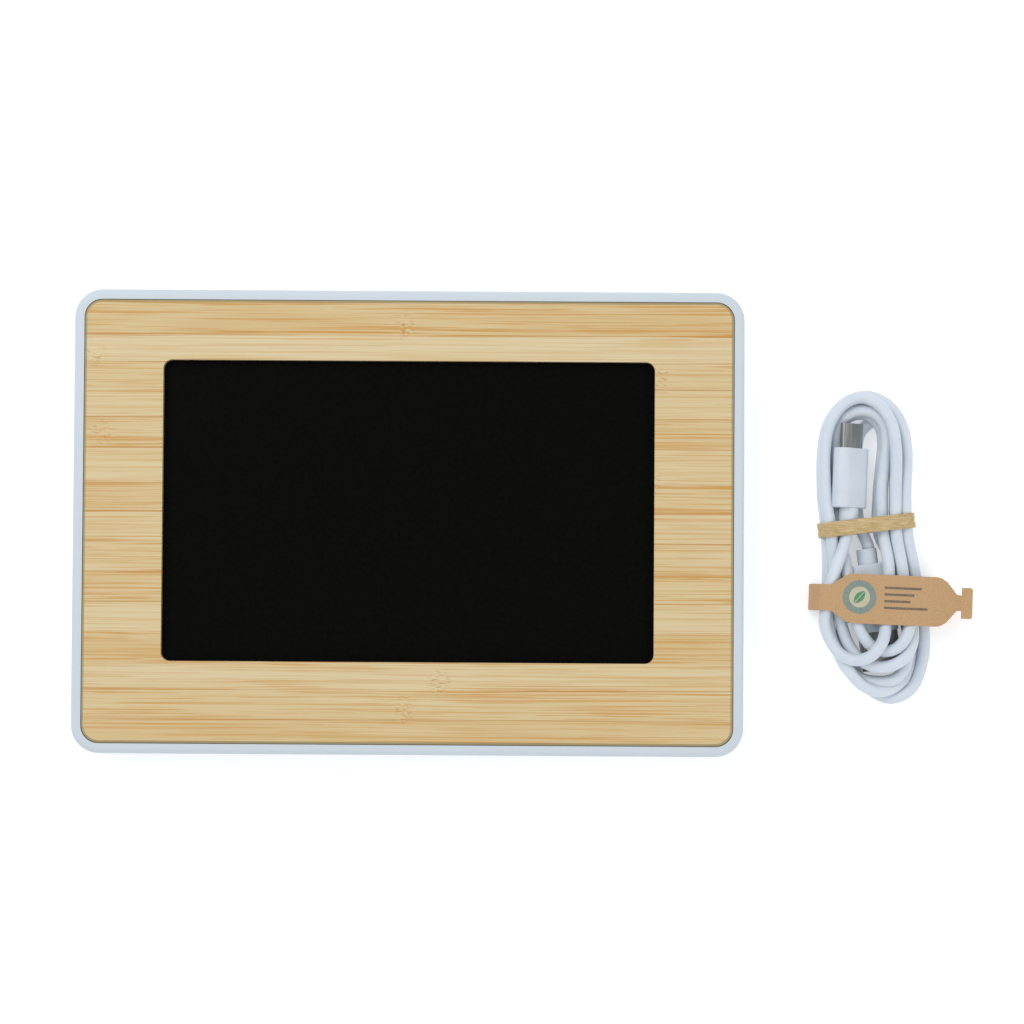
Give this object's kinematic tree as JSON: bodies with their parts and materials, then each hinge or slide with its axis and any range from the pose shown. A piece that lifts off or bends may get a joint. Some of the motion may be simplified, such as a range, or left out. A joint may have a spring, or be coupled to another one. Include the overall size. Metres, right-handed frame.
{
  "type": "digital photo frame",
  "caption": "Table-top digital photo frame lying on its back, with a white housing, a bamboo front panel, a black display window, a fold-out rear stand and a tied USB lead beside it.",
  "frame": {"origin": "centre of the frame's outline, on the plane of its rear rubber feet, with the frame lying on its back", "axes": "+X along the width, to the viewer's right; +Y towards the top edge; +Z out of the screen"},
  "size_m": [0.2828, 0.145, 0.0226],
  "materials": {
    "housing_plastic": "fine satin moulding, cool white",
    "cover_plastic": "fine spark texture, cool white",
    "bamboo": "sanded bamboo laminate, thin matt lacquer",
    "tape": "double-sided adhesive tape",
    "lens_glass": "black-backed cover glass",
    "foam": "black closed-cell foam",
    "display_glass": "dark display cell",
    "tray_metal": "tin-plated sheet",
    "spring_steel": "zinc-plated sheet steel",
    "screw_steel": "zinc-plated screw",
    "circuit_board": "green solder mask on glass epoxy",
    "chip_resin": "black moulding resin",
    "switch_metal": "stamped cover",
    "flex_film": "polyimide film",
    "connector_nylon": "natural nylon",
    "speaker_plastic": "black box speaker",
    "wire_pvc": "insulated wire",
    "antenna_film": "black film antenna",
    "foot_rubber": "matt dark grey rubber",
    "label_film": "blank silver-grey film label",
    "pin_steel": "bright ground pin",
    "washer_brass": "spring washer",
    "button_plastic": "satin grey button",
    "cord_tpe": "matt white TPE sheath, cool",
    "plug_tpe": "smooth overmoulded TPE, cool white",
    "plug_steel": "nickel-plated drawn shell",
    "plug_insulator": "white insulator",
    "plug_insulator_dark": "black insulator",
    "band_rubber": "natural latex band",
    "tag_card": "uncoated kraft card"
  },
  "bodies": {
    "frame": {"front_housing": "housing_plastic", "rear_cover": "cover_plastic", "bamboo_panel": "bamboo", "panel_adhesive": "tape", "display_lens": "lens_glass", "lens_tape": "tape", "lcd_gasket": "foam", "lcd_panel": "display_glass", "backlight_tray": "tray_metal", "lcd_clips": "spring_steel", "clip_screws": "screw_steel", "main_board": "circuit_board", "board_screws": "screw_steel", "shield_can": "tray_metal", "board_chips": "chip_resin", "usb_c_socket": "spring_steel", "card_slot": "spring_steel", "power_switch": "switch_metal", "display_flex": "flex_film", "flex_connector": "connector_nylon", "speaker": "speaker_plastic", "speaker_gasket": "foam", "speaker_leads": "wire_pvc", "wifi_antenna": "antenna_film", "antenna_lead": "wire_pvc", "cover_screws": "screw_steel", "rear_feet": "foot_rubber", "blank_label": "label_film", "hinge_bracket": "spring_steel", "hinge_screws": "screw_steel", "hinge_pin": "pin_steel", "hinge_washers": "washer_brass"},
    "stand": {"stand_leg": "cover_plastic", "leg_pads": "foot_rubber"},
    "button": {"power_button": "button_plastic"},
    "cable": {"cable_hank": "cord_tpe", "cable_lead": "cord_tpe", "usb_c_shell": "plug_steel", "usb_c_tongue": "plug_insulator_dark", "usb_c_body": "plug_tpe", "usb_c_relief": "plug_tpe", "usb_a_shell": "plug_steel", "usb_a_tongue": "plug_insulator", "usb_a_body": "plug_tpe", "usb_a_relief": "plug_tpe", "hank_band": "band_rubber", "cable_tag": "tag_card"}
  },
  "joints": [
    {"name": "stand_hinge", "type": "hinge", "parent": "frame", "child": "stand", "pos_m": [0, 0.026, 0.0045], "axis": [1, 0, 0], "range_deg": [0, 32]},
    {"name": "power_press", "type": "slide", "parent": "frame", "child": "button", "axis": [0, 0, 1], "range_m": [0, 0.0005], "stiffness_N_per_m": 400, "springref_m": -0.0005},
    {"name": "cable_lift", "type": "slide", "parent": "frame", "child": "cable", "axis": [0, 0, 1], "range_m": [0, 0.12]}
  ]
}
